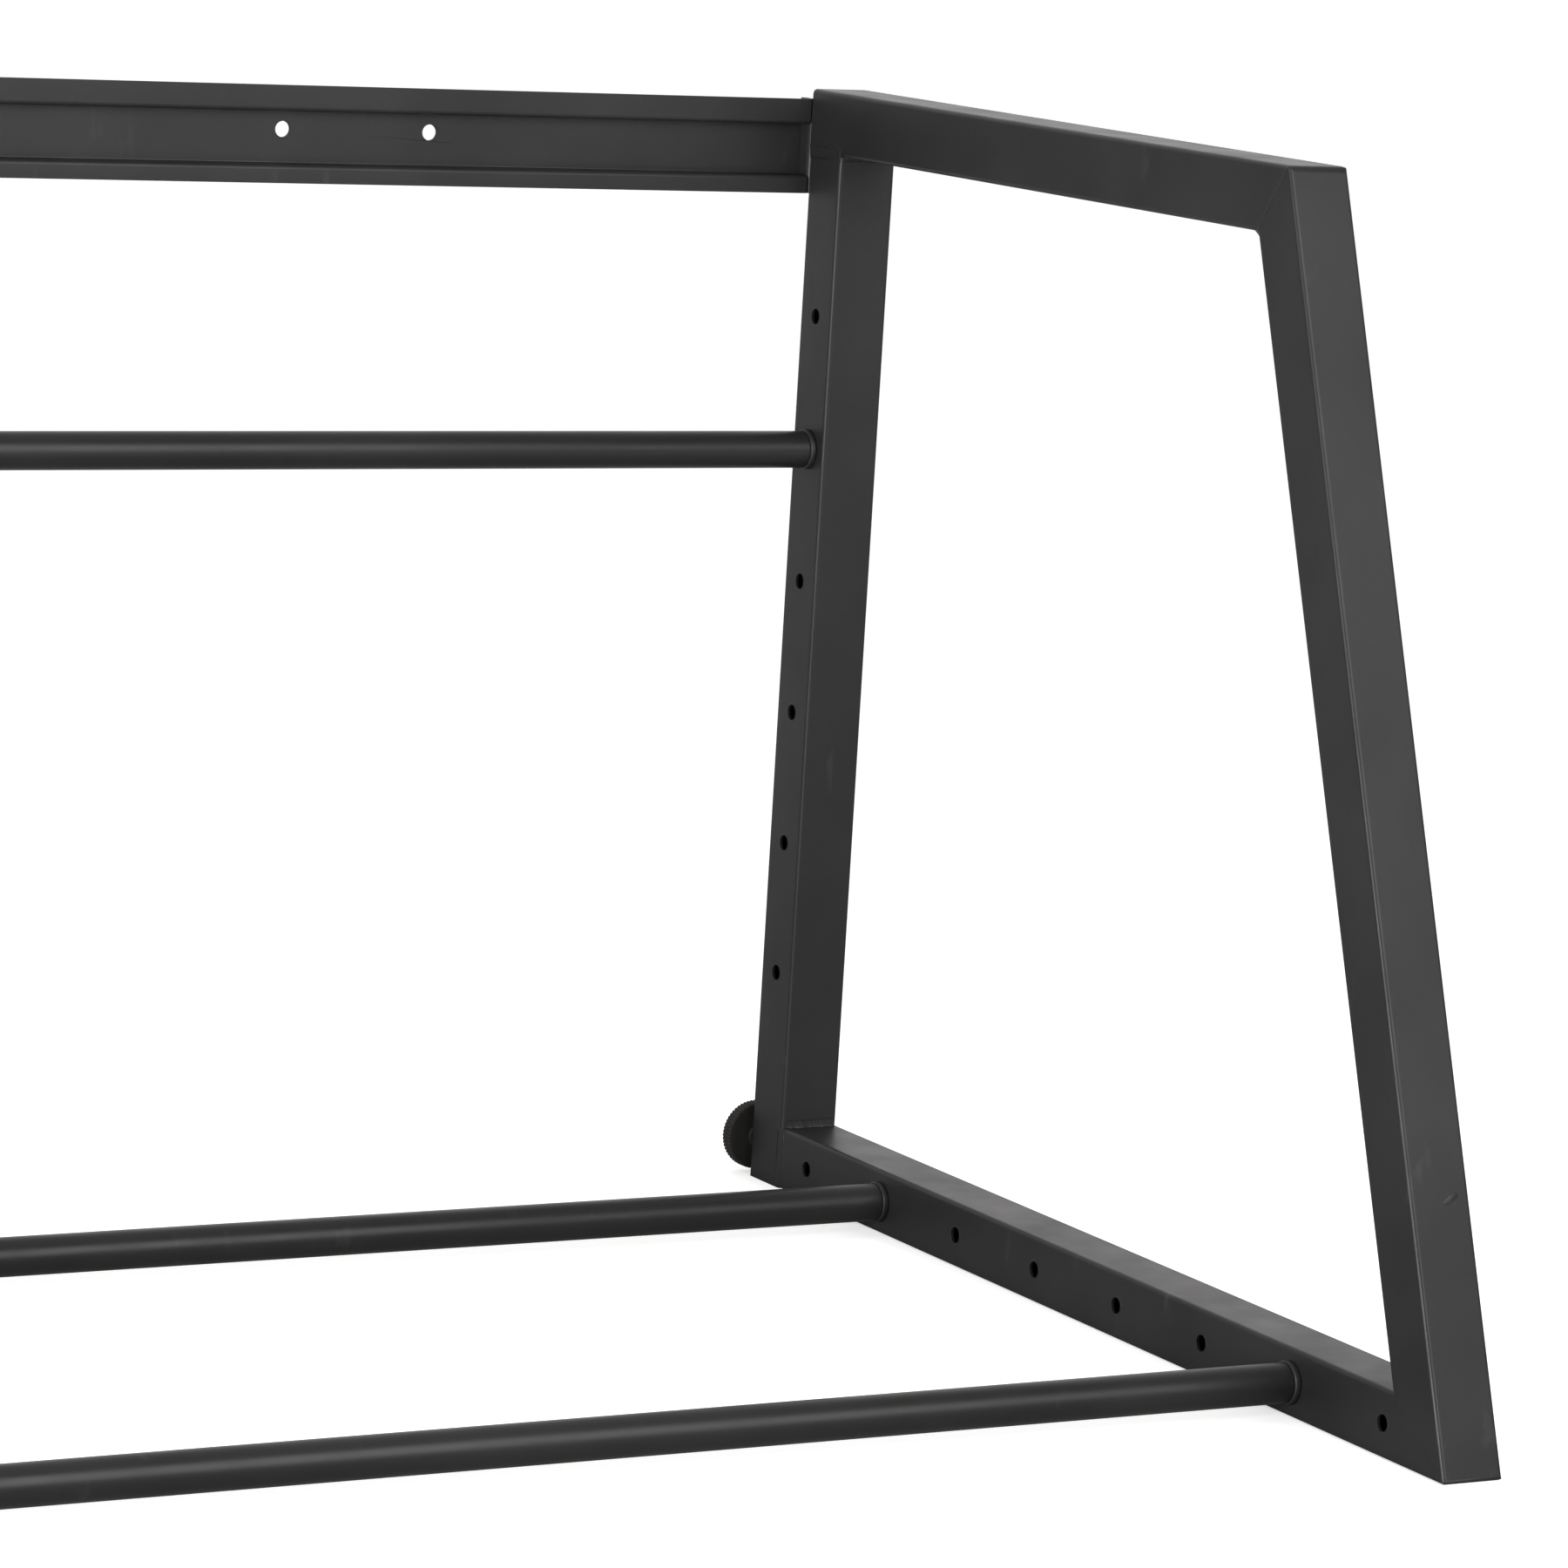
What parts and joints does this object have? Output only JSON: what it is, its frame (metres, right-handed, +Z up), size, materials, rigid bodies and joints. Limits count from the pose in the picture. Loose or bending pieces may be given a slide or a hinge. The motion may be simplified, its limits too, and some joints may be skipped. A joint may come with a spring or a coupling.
{
  "type": "storage rack frame",
  "caption": "Floor-standing steel rack: two trapezoid end frames of square tube, a lipped rear rail, round bars bolted into rows of holes, and ribbed screw-out wall spacers.",
  "frame": {"origin": "middle of the rack's footprint, on the floor", "axes": "+X along the bars to the right end frame as seen from the front, +Y to the rear (wall) side, +Z up"},
  "size_m": [1.4146, 0.864, 0.748],
  "materials": {
    "frame_powder_coat": "fine-textured anthracite powder coat, satin",
    "bar_powder_coat": "fine-textured anthracite powder coat on round tube, satin",
    "black_plastic": "moulded black plastic, matte",
    "ribbed_rubber": "hard black rubber, dusty on the ribs",
    "black_steel": "black oxide steel, low gloss",
    "zinc_steel": "bright zinc plate"
  },
  "bodies": {
    "rack_frame": {"left_rear_leg": "frame_powder_coat", "left_bottom_rail": "frame_powder_coat", "left_top_rail": "frame_powder_coat", "left_front_leg": "frame_powder_coat", "left_rail_bracket": "frame_powder_coat", "left_foot_plug": "black_plastic", "left_top_rail_plug": "black_steel", "left_bracket_bolt_1": "zinc_steel", "left_bracket_bolt_2": "zinc_steel", "left_weld_nut": "zinc_steel", "left_spacer_insert": "zinc_steel", "right_rear_leg": "frame_powder_coat", "right_bottom_rail": "frame_powder_coat", "right_top_rail": "frame_powder_coat", "right_front_leg": "frame_powder_coat", "right_rail_bracket": "frame_powder_coat", "right_foot_plug": "black_plastic", "right_top_rail_plug": "black_steel", "right_bracket_bolt_1": "zinc_steel", "right_bracket_bolt_2": "zinc_steel", "right_weld_nut": "zinc_steel", "right_spacer_insert": "zinc_steel", "rear_rail": "frame_powder_coat", "upper_rear_bar": "bar_powder_coat", "upper_rear_plug_left": "black_plastic", "upper_rear_washer_left": "black_steel", "upper_rear_bolt_left": "black_steel", "upper_rear_plug_right": "black_plastic", "upper_rear_washer_right": "black_steel", "upper_rear_bolt_right": "black_steel", "lower_rear_bar": "bar_powder_coat", "lower_rear_plug_left": "black_plastic", "lower_rear_washer_left": "black_steel", "lower_rear_bolt_left": "black_steel", "lower_rear_plug_right": "black_plastic", "lower_rear_washer_right": "black_steel", "lower_rear_bolt_right": "black_steel", "lower_front_bar": "bar_powder_coat", "lower_front_plug_left": "black_plastic", "lower_front_washer_left": "black_steel", "lower_front_bolt_left": "black_steel", "lower_front_plug_right": "black_plastic", "lower_front_washer_right": "black_steel", "lower_front_bolt_right": "black_steel"},
    "left_spacer_stud_body": {"left_spacer_stud": "zinc_steel"},
    "left_spacer_disc_body": {"left_spacer_disc": "ribbed_rubber"},
    "right_spacer_stud_body": {"right_spacer_stud": "zinc_steel"},
    "right_spacer_disc_body": {"right_spacer_disc": "ribbed_rubber"}
  },
  "joints": [
    {"name": "left_spacer_travel", "type": "slide", "parent": "rack_frame", "child": "left_spacer_stud_body", "axis": [0, 1, 0], "range_m": [-0.004, 0.008]},
    {"name": "left_spacer_turn", "type": "hinge", "parent": "left_spacer_stud_body", "child": "left_spacer_disc_body", "pos_m": [-0.669, 0.427, 0.0256], "axis": [0, 1, 0], "range_deg": [-1440, 2880]},
    {"name": "right_spacer_travel", "type": "slide", "parent": "rack_frame", "child": "right_spacer_stud_body", "axis": [0, 1, 0], "range_m": [-0.004, 0.008]},
    {"name": "right_spacer_turn", "type": "hinge", "parent": "right_spacer_stud_body", "child": "right_spacer_disc_body", "pos_m": [0.669, 0.427, 0.0256], "axis": [0, 1, 0], "range_deg": [-1440, 2880]}
  ],
  "couplings": [
    {"joint": "left_spacer_travel", "follows": "left_spacer_turn", "m_per_rad": 0.00015915},
    {"joint": "right_spacer_travel", "follows": "right_spacer_turn", "m_per_rad": 0.00015915}
  ]
}
